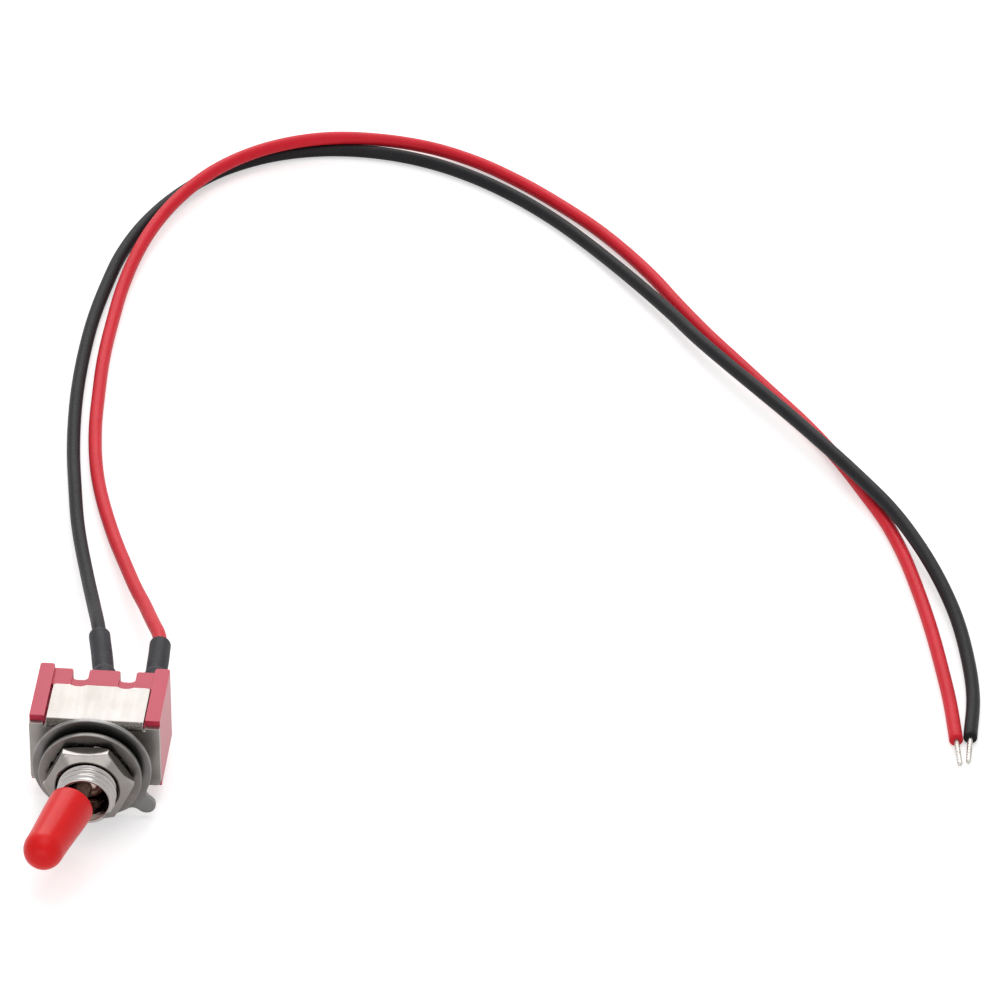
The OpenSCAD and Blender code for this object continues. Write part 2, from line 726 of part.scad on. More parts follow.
module sleeve_switched() {
    along_lug(terminal_pitch, 0) sleeve(switched_sleeve_len, 0);
}

// Faces of a closed tube made of rings of points
function tube_faces(rings, sides) = concat(
    [[for (j = [0:sides - 1]) j]],
    [for (i = [0:rings - 2], j = [0:sides - 1]) let (k = (j + 1) % sides)
        each [[i * sides + j, (i + 1) * sides + j, i * sides + k],
              [i * sides + k, (i + 1) * sides + j, (i + 1) * sides + k]]],
    [[for (j = [sides - 1:-1:0]) (rings - 1) * sides + j]]);

// A lead as a tube along its route
module lead(route) {
    rings = [for (i = [0:len(route) - 1])
        let (ahead = heading(route, i), side = unit(cross(ahead, [0, 0, 1])),
             up = cross(side, ahead))
        [for (j = [0:lead_sides - 1]) let (a = 360 * (j + 0.5) / lead_sides)
            route[i] + lead_r * (cos(a) * side + sin(a) * up)]];
    polyhedron(points = [for (ring = rings) each ring],
               faces = tube_faces(len(route), lead_sides));
}

// The stripped, tinned end of a lead, straight on from its route
module bare_end(route) {
    last = len(route) - 1;
    ahead = heading(route, last);
    translate(route[last]) rotate([0, 0, atan2(ahead[1], ahead[0])]) rotate([0, 90, 0]) {
        cylinder(r = core_d / 2, h = bare_len - core_d / 4);
        translate([0, 0, bare_len - core_d / 4])
            cylinder(r1 = core_d / 2, r2 = core_d / 4, h = core_d / 4);
    }
}

module black_lead() {
    color("#35343a") lead(black_route);
}

module red_lead() {
    color("#d93a4a") lead(red_route);
}

module black_lead_tip() {
    color("#c9c9c6") bare_end(black_route);
}

module red_lead_tip() {
    color("#c9c9c6") bare_end(red_route);
}

frame_bracket();
housing();
bushing();
pivot_pin();
lever();
lever_cap();
plunger();
plunger_spring();
rocker_contact();
moving_contact();
common_terminal();
switched_terminal();
fixed_contact();
keyed_ring();
lock_washer();
hex_nut();
solder_common();
solder_switched();
sleeve_common();
sleeve_switched();
black_lead();
red_lead();
black_lead_tip();
red_lead_tip();
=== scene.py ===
import math

import bpy
import numpy as np
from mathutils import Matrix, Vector


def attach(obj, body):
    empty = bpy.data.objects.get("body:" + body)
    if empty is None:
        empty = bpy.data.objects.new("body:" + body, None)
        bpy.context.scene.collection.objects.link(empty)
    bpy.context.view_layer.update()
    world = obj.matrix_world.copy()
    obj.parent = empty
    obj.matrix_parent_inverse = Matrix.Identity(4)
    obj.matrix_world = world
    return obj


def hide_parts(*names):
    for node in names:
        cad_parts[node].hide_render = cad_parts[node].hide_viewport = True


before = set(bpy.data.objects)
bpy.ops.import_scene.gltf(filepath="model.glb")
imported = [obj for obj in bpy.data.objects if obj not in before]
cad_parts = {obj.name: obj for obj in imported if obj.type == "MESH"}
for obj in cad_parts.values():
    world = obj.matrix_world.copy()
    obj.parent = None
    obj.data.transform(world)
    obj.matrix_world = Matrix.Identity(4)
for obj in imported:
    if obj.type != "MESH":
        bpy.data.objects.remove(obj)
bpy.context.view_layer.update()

MM = 0.001
FLOOR_Z = -6 * MM
FULL_TURN = 2 * np.pi

# ---------------------------------------------------------------- sizes of the pieces made here
# The bushing and its thread.
CREST_R = 3 * MM
PITCH = 0.75 * MM
THREAD_DEPTH = 0.24 * MM
THREAD_RUN_IN = 0.5 * MM
# The share of half a pitch that the groove's floor takes, and the share that a flank takes.
GROOVE_FLOOR, FLANK = 0.12, 0.72
BUSHING_LEN = 7.9 * MM
FRONT_CHAMFER = 0.35 * MM
KEYWAY_TURN = math.radians(-38.5)
KEYWAY_HALF = math.radians(10.4)
KEYWAY_FLOOR_R = 2.5 * MM
EAR_R, EAR_HALF_H, EAR_START, EAR_END = 3.6 * MM, 2.33 * MM, 0.55 * MM, 1.05 * MM
BROKEN_EDGE = 0.03 * MM
# The bore's profile in mm, as place along the bushing and radius, and the rounding of its corners.
BORE_PROFILE = [(7.9, 2.55), (7.87, 2.45), (7.42, 2.17), (7.38, 2.14), (5.0, 1.9), (4.2, 2.2),
                (-0.1, 2.2), (-1.05, 2.55)]
BORE_CORNER = 0.05
RING_STEP = 0.05 * MM
# The lever and its soft cap, as distances along the lever from the cross pin.
LEVER_TILT = math.radians(14)
PIVOT = np.array([0, -3.7, 0]) * MM
CAP_START, CAP_END = 5.05 * MM, 14.5 * MM
CAP_BASE_R, CAP_TIP_R = 2.31 * MM, 2.07 * MM
CAP_LIP_R = 0.2 * MM
CAP_BORE_REACH = np.array([13.45, 13.45, 13.0, 6.1, 5.07, 5.05]) * MM
CAP_BORE_R = np.array([0.05, 0.9, 1.27, 1.27, 1.05, 1.1]) * MM
CAP_UNEVENNESS, CAP_WAVE = 0.006, 1.7 * MM
# The cap's end is a little fuller than a half ball: its radius is the cosine to this power.
DOME_FULLNESS = 0.9
# The sleeves on the two lugs.
SLEEVE_START = 0.234 * MM
SLEEVE_WIDE_R, SLEEVE_NARROW_R = 1.45 * MM, 1.12 * MM
SLEEVE_BORE_R, SLEEVE_LUG_BORE_R = 0.76 * MM, 1.1 * MM
SLEEVE_MOUTH_R, SLEEVE_START_ROUND, SLEEVE_START_DEPTH = 0.3 * MM, 0.15 * MM, 0.1 * MM
LUG_FLATNESS = 0.09
FOLD_DEPTH, FOLD_COUNT, FOLD_PHASE, FOLD_SPREAD = 0.022 * MM, 5, 1.3, 0.9 * MM
RIPPLE_DEPTH, RIPPLE_WAVE = 0.012 * MM, 0.8 * MM
SHOULDER_START, SHOULDER_END = 3.6 * MM, 4.5 * MM
BORE_STEP_START, BORE_STEP_END = 3.7 * MM, 4.3 * MM
LUG_FOOT = np.array([0, 9.15, 0]) * MM
TERMINAL_PITCH = 4.7 * MM
COMMON_LEAN = math.atan(0.2)
SWITCHED_LEAN = math.radians(2.4)
COMMON_SLEEVE, SWITCHED_SLEEVE = 10.8 * MM, 9.6 * MM
# The leads and their tinned ends.
LEAD_R = 0.725 * MM
LINE_STEP = 0.8 * MM
JACKET_UNEVENNESS, JACKET_WAVE, JACKET_SLOW_WAVE = 0.01, 2.9 * MM, 17 * MM
# The last rings of a jacket: how far each lies past the first of them, and how much smaller it is.
CUT_END_PLACES = np.array([0, 0.04, 0.09, 0.13]) * MM
CUT_END_ROUNDING = np.array([0, 0.01, 0.05, 0.13]) * MM
STRAND_BUNDLE_R = 0.275 * MM
STRAND_RELIEF = 0.14
BARE_LEN, HIDDEN_LEN = 4 * MM, 1 * MM
TIP_TAPER_LEN, TIP_TAPER_SPAN = 0.2 * MM, 0.22 * MM
STRANDS = 7
LAY_LENGTH = 3.2 * MM
# The spring in the lever's tail.
SPRING_R, WIRE_R, SPRING_COILS = 0.67 * MM, 0.1 * MM, 6
SPRING_NEAR, SPRING_FAR = 1.31 * MM, 4.38 * MM
# The number of points round a ring of each piece.
JACKET_POINTS, TIP_POINTS, SLEEVE_POINTS = 32, 56, 64
BUSHING_POINTS, CAP_POINTS, WIRE_POINTS = 180, 96, 12
# A smooth line is first drawn with this many steps between two points of its route.
STEPS_IN_SPAN = 40
# A rounded corner of a profile has this many points, and takes no more than this share of a side.
CORNER_POINTS, CORNER_SHARE = 5, 0.45
# How a CAD solid's sharp edges are rolled over.
WELD_DISTANCE = 1e-6
FLAT_ANGLE, SHARP_ANGLE = math.radians(0.5), math.radians(32)
ROLL_SEGMENTS = 3

# The middle lines of the leads, in mm.
RED_ROUTE = np.array([
    [4.53, 13.2, 0], [4.31, 18.6, 0], [3.8, 21, -0.41], [3.12, 23, -0.93], [2.32, 25.5, -1.67],
    [1.36, 28.5, -2.5], [0.22, 31.5, -3.1], [-1.7, 37, -4], [-3.94, 43.5, -4.7],
    [-7.35, 55.98, -5.2], [-8.33, 62.5, -5.2], [-8.87, 69.5, -5.2], [-9.2, 76.45, -5.2],
    [-9.11, 83.35, -5.1], [-8.81, 89.88, -5], [-8.05, 95.55, -4.7], [-6.68, 101.2, -4.4],
    [-4.66, 106.25, -4.1], [-1.1, 111.71, -3.7], [4.05, 116.31, -3.6], [10.52, 119.3, -3.8],
    [16.49, 120.42, -4.4], [22.5, 119.97, -4.9], [27.5, 118, -5.1], [32.46, 114.77, -5.2],
    [37.9, 110.11, -5.2], [42.01, 106.04, -5.2], [45.61, 101.77, -5.2], [49.17, 96.86, -5.2],
    [52.1, 92.15, -5.2], [55.5, 87, -5.2], [59.5, 81.5, -5.2], [63.5, 76, -5.2],
    [67.5, 70.5, -5.2], [71, 65, -5.2], [74.5, 58.5, -5.2], [77.13, 53.15, -5.2],
    [79.05, 48.04, -5.2], [80.98, 41.48, -5.2], [82.5, 35.5, -5.2], [84, 28.5, -5.2],
    [85.05, 23.02, -5.2], [86, 16.5, -5.2]]) * MM
BLACK_ROUTE = np.array([
    [-0.81, 13.2, 0], [-2.206, 20.182, 0], [-3.82, 27.5, -2], [-5.25, 33.5, -3.2],
    [-8.08, 45.99, -4.6], [-9.12, 52, -4.9], [-10.15, 58.5, -5.2], [-11.21, 69.5, -5.2],
    [-11.42, 76.48, -5.2], [-11.28, 83.41, -5.2], [-10.67, 90.29, -5.2], [-9.89, 95.9, -5.2],
    [-8, 102.5, -5.2], [-5, 108.5, -5.2], [-0.5, 114, -5.2], [5, 117.5, -5.2], [10.5, 119, -5.2],
    [17.51, 118.85, -5.2], [22.99, 117.3, -5.2], [27.97, 114.76, -5.2], [32.43, 111.64, -5.2],
    [37.42, 107.2, -5.2], [41.42, 102.76, -5.1], [44.94, 98.34, -4.9], [48.5, 93.5, -4.6],
    [51.58, 89.18, -4.4], [54.9, 84.1, -4.1], [58.53, 79.08, -3.8], [62.01, 74.54, -3.6],
    [65.96, 69.39, -3.4], [69.41, 64.79, -3.3], [73.47, 59.43, -3.4], [77.61, 53.68, -3.7],
    [80.64, 48.19, -4], [83.13, 42.64, -4.4], [85.07, 37.05, -4.8], [86.46, 31.01, -5.1],
    [87.4, 24, -5.2], [87.4, 17, -5.2]]) * MM
LEAD_LEN = 250 * MM

# ---------------------------------------------------------------- camera
# The camera looks down on the switch from the front, a little from its left.
VIEW_YAW = math.radians(-5.12)
VIEW_DOWN = math.radians(36)
VIEW_DISTANCE = 800 * MM
# The middle of the picture lies to the right of the bushing and behind it.
MIDDLE_RIGHT, MIDDLE_UP = 40.70 * MM, 25.44 * MM
LENS, SENSOR = 286.6, 36

# ---------------------------------------------------------------- light
FLOOR_REACH = 3.0
FLOOR_TONE, FLOOR_ROUGHNESS = (0.86, 0.86, 0.86, 1), 0.9
FLOOR_GLOW = 0.52
FLOOR_GLOW_IN_REFLECTIONS = 0.34
WORLD_LIGHT = 0.4
# Each lamp: its name, its place, the point it faces, its width and height, and its power.
LAMPS = [("rear_softbox", (-0.06, 0.74, 0.54), (0.02, 0.02, 0), 0.7, 0.6, 3.4),
         ("overhead", (0.1, 0.0, 1.0), (0.03, 0.04, 0), 0.8, 0.8, 2.6),
         ("front_softbox", (-0.1, -0.85, 0.25), (0, 0, 0), 1.0, 0.4, 1.2)]


def make_camera():
    ahead = Vector((math.sin(VIEW_YAW) * math.cos(VIEW_DOWN), math.cos(VIEW_YAW) * math.cos(VIEW_DOWN),
                    -math.sin(VIEW_DOWN)))
    right = Vector((math.cos(VIEW_YAW), -math.sin(VIEW_YAW), 0))
    up = right.cross(ahead)
    data = bpy.data.cameras.new("camera")
    data.lens, data.sensor_width, data.clip_start, data.clip_end = LENS, SENSOR, 0.01, 10
    camera = bpy.data.objects.new("camera", data)
    bpy.context.scene.collection.objects.link(camera)
    camera.location = right * MIDDLE_RIGHT + up * MIDDLE_UP - ahead * VIEW_DISTANCE
    camera.rotation_euler = ahead.to_track_quat("-Z", "Y").to_euler()
    bpy.context.scene.camera = camera


make_camera()


# ---------------------------------------------------------------- surfaces from grids of points
def grid_piece(name, rings, body, material, stands_for, closed=False):
    """A piece made of rings of points.

    Each point joins the next one on its ring, and the same one on the next ring. The last point of a
    ring joins the first. Where closed is true the last ring joins the first ring, and otherwise each
    end ring is closed by a fan to its middle point. The map's first number runs round a ring from 0 to
    1 and its second counts the rings' distance in metres.
    """
    rows, around = rings.shape[:2]
    step = np.linalg.norm(np.diff(rings.mean(1), axis=0), axis=1)
    along = np.concatenate([[0], np.cumsum(step)])
    last = rows if closed else rows - 1
    r, c = np.meshgrid(np.arange(last), np.arange(around), indexing="ij")
    r, c = r.ravel(), c.ravel()
    r2, c2 = (r + 1) % rows, (c + 1) % around
    quads = np.stack([r * around + c, r2 * around + c, r2 * around + c2, r * around + c2], 1)
    u = np.stack([c, c, c + 1, c + 1], 1) / around
    v = along[np.stack([r, r2, r2, r], 1)]
    points = rings.reshape(-1, 3)
    loops, starts, totals = quads.ravel(), np.arange(len(quads)) * 4, np.full(len(quads), 4)
    uv = np.stack([u.ravel(), v.ravel()], 1)
    if not closed:
        here = np.arange(around)
        there = (here + 1) % around
        first, end = len(points), len(points) + 1
        points = np.vstack([points, rings[0].mean(0), rings[-1].mean(0)])
        base = (rows - 1) * around
        fans = np.vstack([np.stack([np.full(around, first), here, there], 1),
                          np.stack([np.full(around, end), base + there, base + here], 1)])
        starts = np.concatenate([starts, len(loops) + np.arange(len(fans)) * 3])
        totals = np.concatenate([totals, np.full(len(fans), 3)])
        loops = np.concatenate([loops, fans.ravel()])
        uv = np.vstack([uv, np.zeros((fans.size, 2))])
    # The sum of the tetrahedra from the origin to each quad is above zero where the faces look out.
    a, b, c3, d = (points[quads[:, k]] for k in range(4))
    volume = np.einsum("ij,ij->i", a, np.cross(b, c3)).sum() + np.einsum(
        "ij,ij->i", a, np.cross(c3, d)).sum()
    mesh = bpy.data.meshes.new(name)
    mesh.vertices.add(len(points))
    mesh.vertices.foreach_set("co", points.ravel().astype(np.float32))
    mesh.loops.add(len(loops))
    mesh.loops.foreach_set("vertex_index", loops.astype(np.int32))
    mesh.polygons.add(len(starts))
    mesh.polygons.foreach_set("loop_start", starts.astype(np.int32))
    mesh.polygons.foreach_set("loop_total", totals.astype(np.int32))
    layer = mesh.uv_layers.new(name="surface")
    layer.data.foreach_set("uv", uv.ravel().astype(np.float32))
    mesh.update(calc_edges=True)
    if volume < 0:
        mesh.flip_normals()
    mesh.shade_smooth()
    mesh.materials.append(material)
    piece = bpy.data.objects.new(name, mesh)
    bpy.context.scene.collection.objects.link(piece)
    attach(piece, body)
    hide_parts(stands_for)
    return piece


def smooth_line(points, step):
    """A smooth line through the points, with even steps.

    Between two points it is the cubic that has their mean slopes at its ends. A point's slope is the
    mean of the slopes of the two chords that meet there, each weighted by the other's length.
    """
    chord = np.diff(points, axis=0)
    length = np.linalg.norm(chord, axis=1)[:, None]
    slope = chord / length
    middle = (slope[:-1] * length[1:] + slope[1:] * length[:-1]) / (length[:-1] + length[1:])
    ends = np.vstack([slope[:1], middle, slope[-1:]])
    t = np.linspace(0, 1, STEPS_IN_SPAN, endpoint=False)[None, :, None]
    p0, p1 = points[:-1, None], points[1:, None]
    m0, m1 = (ends[:-1] * length)[:, None], (ends[1:] * length)[:, None]
    fine = ((2 * t ** 3 - 3 * t ** 2 + 1) * p0 + (t ** 3 - 2 * t ** 2 + t) * m0
            + (3 * t ** 2 - 2 * t ** 3) * p1 + (t ** 3 - t ** 2) * m1).reshape(-1, 3)
    fine = np.vstack([fine, points[-1:]])
    run = np.concatenate([[0], np.cumsum(np.linalg.norm(np.diff(fine, axis=0), axis=1))])
    even = np.linspace(0, run[-1], max(2, int(round(run[-1] / step)) + 1))
    return np.stack([np.interp(even, run, fine[:, k]) for k in range(3)], 1)


def frames(line):
    """The direction of a line at each of its points, with its level side and its top direction."""
    ahead = np.gradient(line, axis=0)
    ahead /= np.linalg.norm(ahead, axis=1)[:, None]
    side = np.cross(ahead, [0, 0, 1])
    side /= np.linalg.norm(side, axis=1)[:, None]
    return ahead, side, np.cross(side, ahead)


def ring_angles(count):
    """The angles of a ring's points: even parts of a full turn."""
    return FULL_TURN * np.arange(count) / count


def carried(line, radii):
    """Rings about a line. A point at angle a stands off by its radius, cos(a) times to the side and
    sin(a) times up. Radii has one number for each point of each ring."""
    ahead, side, top = frames(line)
    a = ring_angles(radii.shape[1])
    out = np.cos(a)[None, :, None] * side[:, None] + np.sin(a)[None, :, None] * top[:, None]
    return line[:, None] + radii[..., None] * out


def turned(origin, axis_turn, reach, radius):
    """Rings about a level axis that starts at origin and points axis_turn round from +Y. Each ring
    has a reach along the axis and a radius for each of its points."""
    axis = np.array([-math.sin(axis_turn), math.cos(axis_turn), 0])
    side = np.array([math.cos(axis_turn), math.sin(axis_turn), 0])
    a = ring_angles(radius.shape[1])
    out = np.cos(a)[:, None] * side + np.sin(a)[:, None] * np.array([0, 0, 1])
    return origin + reach[:, None, None] * axis + radius[..., None] * out


def rise(x, start, end):
    """Goes smoothly from 0 at start to 1 at end: three times t squared less twice t cubed."""
    t = np.clip((x - start) / (end - start), 0, 1)
    return t * t * (3 - 2 * t)


def bend_points(corners, round_r):
    """A profile through its corners, each rounded by a curve that leaves and meets its two sides
    round_r away: a blend of the corner and the two ends by t squared and its like."""
    corners = np.array(corners, float)
    out = [corners[:1]]
    t = np.linspace(0, 1, CORNER_POINTS)[:, None]
    for before, at, after in zip(corners[:-2], corners[1:-1], corners[2:]):
        back, on = before - at, after - at
        r = min(round_r, CORNER_SHARE * np.linalg.norm(back), CORNER_SHARE * np.linalg.norm(on))
        p, q = at + back / np.linalg.norm(back) * r, at + on / np.linalg.norm(on) * r
        out.append((1 - t) ** 2 * p + 2 * t * (1 - t) * at + t ** 2 * q)
    out.append(corners[-1:])
    return np.vstack(out)


# ---------------------------------------------------------------- shared effects
def new_group(name, inputs, outputs):
    """An empty node group. An input is (name, kind, default) and an output is (name, kind)."""
    tree = bpy.data.node_groups.new(name, "ShaderNodeTree")
    for label, kind, value in inputs:
        socket = tree.interface.new_socket(label, in_out="INPUT", socket_type="NodeSocket" + kind)
        if value is not None:
            socket.default_value = value
    for label, kind in outputs:
        tree.interface.new_socket(label, in_out="OUTPUT", socket_type="NodeSocket" + kind)
    return tree, tree.nodes.new("NodeGroupInput"), tree.nodes.new("NodeGroupOutput")


def join(tree, source, target):
    tree.links.new(source, target)


def noise(tree, vector, scale, detail, roughness):
    """A noise texture in metres: scale is the number of waves per metre."""
    node = tree.nodes.new("ShaderNodeTexNoise")
    node.inputs["Detail"].default_value = detail
    node.inputs["Roughness"].default_value = roughness
    join(tree, vector, node.inputs["Vector"])
    if isinstance(scale, (int, float)):
        node.inputs["Scale"].default_value = scale
    else:
        join(tree, scale, node.inputs["Scale"])
    return node.outputs["Fac"]


def between(tree, value, low, high, to_low=0.0, to_high=1.0):
    """Spreads the span low to high of a value over to_low to to_high, and clamps it."""
    node = tree.nodes.new("ShaderNodeMapRange")
    join(tree, value, node.inputs["Value"])
    for label, number in (("From Min", low), ("From Max", high), ("To Min", to_low), ("To Max", to_high)):
        node.inputs[label].default_value = number
    return node.outputs["Result"]


def sums(tree, kind, a, b):
    """A sum of the given kind on two values, each a number or a socket."""
    node = tree.nodes.new("ShaderNodeMath")
    node.operation = kind
    for socket, value in zip(node.inputs, (a, b)):
        if isinstance(value, (int, float)):
            socket.default_value = value
        else:
            join(tree, value, socket)
    return node.outputs[0]


def tinted(tree, mask, a, b):
    """Colour a where the mask is 0 and colour b where it is 1."""
    node = tree.nodes.new("ShaderNodeMix")
    node.data_type = "RGBA"
    join(tree, mask, node.inputs[0])
    for socket, value in zip((node.inputs[6], node.inputs[7]), (a, b)):
        if isinstance(value, tuple):
            socket.default_value = value + (1,)
        else:
            join(tree, value, socket)
    return node.outputs[2]


# Scales are in waves per metre. The last two numbers of a noise are its detail and its roughness.
METAL_GRAIN, PLASTIC_GRAIN, SKIN_GRAIN = 9000.0, 5000.0, 4500.0
DRAWN_SCALE, SPECK_SCALE = 900.0, 5200.0
PLASTIC_BLOTCH, SKIN_BLOTCH = 250.0, 300.0
# A surface's roughness runs from its own value times the first to its value times the second.
METAL_POLISH, PLASTIC_POLISH, SKIN_POLISH = (0.85, 1.2), (0.85, 1.2), (0.85, 1.25)
METAL_RELIEF, PLASTIC_RELIEF, SKIN_RELIEF = 0.02 * MM, 0.015 * MM, 0.08 * MM
COAT_ROUGHNESS = 0.2
BLOTCHES_IN_POLISH = 0.12
DRAWN_SHARE, GRAIN_SHARE = 0.6, 0.4
PLASTIC_EDGE_R, PLASTIC_EDGE_SHARE = 0.1 * MM, 0.6
DUST, GRAIN_IN_RIPPLE = 0.2, 0.15
# A dark grey painted over the bracket's folds as shade.
FOLD_PAINTED_SHADE = (0.05, 0.044, 0.035)
# Where the painted shade on the bracket's folds lies: each pair is where the band begins to show and
# where it is full, or where it is full and where it has gone.
FOLD_HEIGHT = 3.02 * MM, 3.1 * MM
FOLD_BACK = 0.6 * MM, 0.75 * MM
FOLD_HALF_WIDTH = 4.95 * MM, 5.0 * MM


def make_mottle():
    """Slow blotches with finer ones over them, from 0 to 1."""
    tree, given, put = new_group(
        "mottle", [("Coordinates", "Vector", None), ("Scale", "Float", 300.0), ("Low", "Float", 0.35),
                   ("High", "Float", 0.65)], [("Mask", "Float")])
    slow = noise(tree, given.outputs["Coordinates"], given.outputs["Scale"], 3.0, 0.6)
    node = tree.nodes.new("ShaderNodeMapRange")
    join(tree, slow, node.inputs["Value"])
    join(tree, given.outputs["Low"], node.inputs["From Min"])
    join(tree, given.outputs["High"], node.inputs["From Max"])
    join(tree, node.outputs["Result"], put.inputs["Mask"])
    return tree


def make_fine_grain():
    """The small even roughness of a moulded or plated surface, as a height, and its pits as a mask."""
    tree, given, put = new_group(
        "fine_grain", [("Coordinates", "Vector", None), ("Scale", "Float", 6000.0)],
        [("Height", "Float"), ("Pits", "Float")])
    fine = noise(tree, given.outputs["Coordinates"], given.outputs["Scale"], 4.0, 0.6)
    join(tree, fine, put.inputs["Height"])
    join(tree, between(tree, fine, 0.33, 0.42, 1.0, 0.0), put.inputs["Pits"])
    return tree


def make_wear_and_highlight_edges():
    """Edge wear and painted highlight: bright where a surface turns sharply, by how far the normal, once
    rounded over the radius, leaves the face's own normal."""
    tree, given, put = new_group(
        "wear_and_highlight_edges", [("Coordinates", "Vector", None), ("Radius", "Float", 0.0001),
                         ("Breakup", "Float", 2500.0)], [("Mask", "Float")])
    bevel = tree.nodes.new("ShaderNodeBevel")
    bevel.samples = 4
    join(tree, given.outputs["Radius"], bevel.inputs["Radius"])
    shape = tree.nodes.new("ShaderNodeNewGeometry")
    dot = tree.nodes.new("ShaderNodeVectorMath")
    dot.operation = "DOT_PRODUCT"
    join(tree, bevel.outputs["Normal"], dot.inputs[0])
    join(tree, shape.outputs["Normal"], dot.inputs[1])
    edge = between(tree, dot.outputs["Value"], 0.80, 0.98, 1.0, 0.0)
    patches = noise(tree, given.outputs["Coordinates"], given.outputs["Breakup"], 3.0, 0.6)
    edge_breakup = between(tree, patches, 0.3, 0.6, 0.45, 1.0)
    join(tree, sums(tree, "MULTIPLY", edge, edge_breakup), put.inputs["Mask"])
    return tree


def make_recess_painted_shade():
    """Painted shade: dark in corners and narrow gaps, by how much of the space within reach of a point is
    closed in.
    """
    tree, given, put = new_group(
        "recess_painted_shade", [("Coordinates", "Vector", None), ("Distance", "Float", 0.001),
                         ("Breakup", "Float", 1500.0)], [("Mask", "Float")])
    closed = tree.nodes.new("ShaderNodeAmbientOcclusion")
    closed.samples = 8
    join(tree, given.outputs["Distance"], closed.inputs["Distance"])
    patches = noise(tree, given.outputs["Coordinates"], given.outputs["Breakup"], 3.0, 0.6)
    patchy = between(tree, patches, 0.3, 0.7, 0.75, 1.0)
    hidden = between(tree, closed.outputs["AO"], 0.15, 0.9, 1.0, 0.0)
    join(tree, sums(tree, "MULTIPLY", hidden, patchy), put.inputs["Mask"])
    return tree


def make_drawn_lines():
    """Fine lines along one direction, as rolling or drawing leaves them: noise squeezed across it."""
    tree, given, put = new_group(
        "drawn_lines", [("Coordinates", "Vector", None), ("Squeeze", "Vector", (1, 1, 1)),
                        ("Scale", "Float", 400.0)], [("Height", "Float")])
    squeeze = tree.nodes.new("ShaderNodeVectorMath")
    squeeze.operation = "MULTIPLY"
    join(tree, given.outputs["Coordinates"], squeeze.inputs[0])
    join(tree, given.outputs["Squeeze"], squeeze.inputs[1])
    lines = noise(tree, squeeze.outputs["Vector"], given.outputs["Scale"], 4.0, 0.6)
    join(tree, lines, put.inputs["Height"])
    return tree


MOTTLE = make_mottle()
FINE_GRAIN = make_fine_grain()
# Edge wear and painted highlight along sharp edges.
WEAR_AND_HIGHLIGHT_EDGES = make_wear_and_highlight_edges()
DRAWN_LINES = make_drawn_lines()
# Painted shade, darkening the metals' corners and narrow gaps.
RECESS_PAINTED_SHADE = make_recess_painted_shade()


def placed(tree, group, coordinates, **values):
    """A shared effect in a material, with its own values for the group's inputs."""
    node = tree.nodes.new("ShaderNodeGroup")
    node.node_tree = group
    join(tree, coordinates, node.inputs["Coordinates"])
    for label, value in values.items():
        node.inputs[label.capitalize()].default_value = value
    return node


def finish_of(name, roughness, metallic=0.0, coat=0.0, specular=0.5):
    """A new material with its Principled shader and its object coordinates."""
    material = bpy.data.materials.new(name)
    material.use_nodes = True
    tree = material.node_tree
    shader = tree.nodes["Principled BSDF"]
    for label, value in (("Roughness", roughness), ("Metallic", metallic), ("Coat Weight", coat),
                         ("Coat Roughness", COAT_ROUGHNESS), ("Specular IOR Level", specular)):
        shader.inputs[label].default_value = value
    where = tree.nodes.new("ShaderNodeTexCoord").outputs["Object"]
    return material, tree, shader, where


def roughened(tree, shader, value, low, high, roughness, polish):
    """Spreads a value's span over the roughness times the two numbers of polish."""
    spread = between(tree, value, low, high, roughness * polish[0], roughness * polish[1])
    join(tree, spread, shader.inputs["Roughness"])


def bumped(tree, shader, height, strength, distance):
    """Feeds a height to the shader's normal."""
    node = tree.nodes.new("ShaderNodeBump")
    node.inputs["Strength"].default_value = strength
    node.inputs["Distance"].default_value = distance
    join(tree, height, node.inputs["Height"])
    join(tree, node.outputs["Normal"], shader.inputs["Normal"])


def fold_painted_shade(tree, where):
    """Painted shade: a dark, speckled band on the outside of the bracket's two folds, between the wings,
    above and below the body, and as far back as the fold reaches."""
    parts = tree.nodes.new("ShaderNodeSeparateXYZ")
    join(tree, where, parts.inputs[0])
    high = between(tree, sums(tree, "ABSOLUTE", parts.outputs["Z"], 0), *FOLD_HEIGHT)
    front = between(tree, parts.outputs["Y"], *FOLD_BACK, 1.0, 0.0)
    inner = between(tree, sums(tree, "ABSOLUTE", parts.outputs["X"], 0), *FOLD_HALF_WIDTH, 1.0, 0.0)
    band = sums(tree, "MULTIPLY", sums(tree, "MULTIPLY", high, front), inner)
    specks = between(tree, noise(tree, where, SPECK_SCALE, 3.0, 0.7), 0.35, 0.62, 0.72, 1.0)
    return sums(tree, "MULTIPLY", band, specks)


